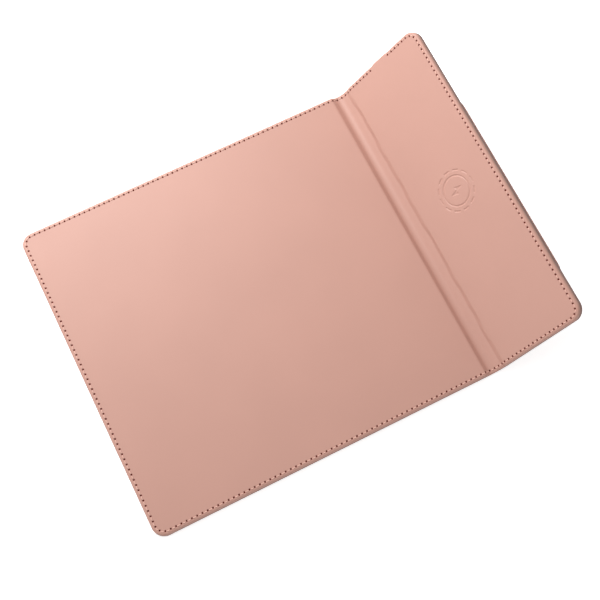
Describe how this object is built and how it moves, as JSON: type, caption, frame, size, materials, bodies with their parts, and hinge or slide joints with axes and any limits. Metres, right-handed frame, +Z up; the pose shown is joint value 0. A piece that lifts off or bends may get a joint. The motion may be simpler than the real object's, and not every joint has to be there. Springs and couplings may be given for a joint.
{
  "type": "folding desk mat with wireless charging flap",
  "caption": "Folding leather mouse mat whose end flap stands up on a hinged prop leaf and charges a phone wirelessly.",
  "frame": {"origin": "middle of the panel's underside, on the desk", "axes": "+X from the panel towards the flap, +Y towards the short side with the charging port, +Z up"},
  "size_m": [0.2989, 0.21, 0.0532],
  "materials": {
    "leather_top": "satin, fine smooth grain, rose",
    "leather_base": "matt, fine grain, rose",
    "thread": "twisted sewing thread, rose",
    "fibreboard": "matt pressed fibre",
    "foam": "matt closed-cell foam",
    "black_plastic": "fine matt",
    "white_plastic": "matt, slightly translucent",
    "chip": "moulded package, matt",
    "ferrite": "matt sintered",
    "copper": "enamelled copper wire, glossy",
    "circuit": "green solder mask over glass fibre",
    "ceramic": "satin fired ceramic",
    "steel": "fine brushed",
    "magnet": "nickel plated, polished"
  },
  "bodies": {
    "panel": {"panel_base_cover": "leather_base", "panel_board": "fibreboard", "panel_foam": "foam", "panel_top_cover": "leather_top", "panel_stitching": "thread"},
    "spine": {"spine_base_cover": "leather_base", "spine_stiffener": "white_plastic", "spine_top_cover": "leather_top", "spine_stitching_near": "thread", "spine_stitching_far": "thread"},
    "flap": {"flap_top_cover": "leather_top", "flap_base_cover": "leather_base", "prop_anchor_strip": "leather_base", "flap_stitching": "thread", "flap_stitching_by_port": "thread", "flap_board": "fibreboard", "flap_foam": "foam", "coil_pad": "foam", "charger_tray": "black_plastic", "charger_lid": "black_plastic", "usb_tongue": "black_plastic", "port_trim": "black_plastic", "status_led": "white_plastic", "controller_chip": "chip", "power_chip_a": "chip", "power_chip_b": "chip", "ferrite_sheet": "ferrite", "filter_inductor": "ferrite", "transmit_coil": "copper", "coil_lead_a": "copper", "coil_lead_b": "copper", "circuit_board": "circuit", "thermistor": "ceramic", "resonance_capacitor_1": "ceramic", "resonance_capacitor_2": "ceramic", "resonance_capacitor_3": "ceramic", "resonance_capacitor_4": "ceramic", "usb_shell": "steel", "steel_keeper_near": "steel", "steel_keeper_far": "steel"},
    "prop": {"prop_inner_skin": "leather_base", "prop_outer_skin": "leather_base", "prop_board": "fibreboard", "prop_magnet_near": "magnet", "prop_magnet_far": "magnet"}
  },
  "joints": [
    {"name": "spine_fold", "type": "hinge", "parent": "panel", "child": "spine", "pos_m": [0.114, 0, 0.00115], "axis": [0, -1, 0], "range_deg": [0, 80]},
    {"name": "flap_fold", "type": "hinge", "parent": "spine", "child": "flap", "pos_m": [0.12237, 0, 0.00263], "axis": [0, -1, 0], "range_deg": [-49, 54]},
    {"name": "prop_fold", "type": "hinge", "parent": "flap", "child": "prop", "pos_m": [0.16296, 0, 0.04128], "axis": [0, -1, 0], "range_deg": [-75.02, 12]}
  ]
}
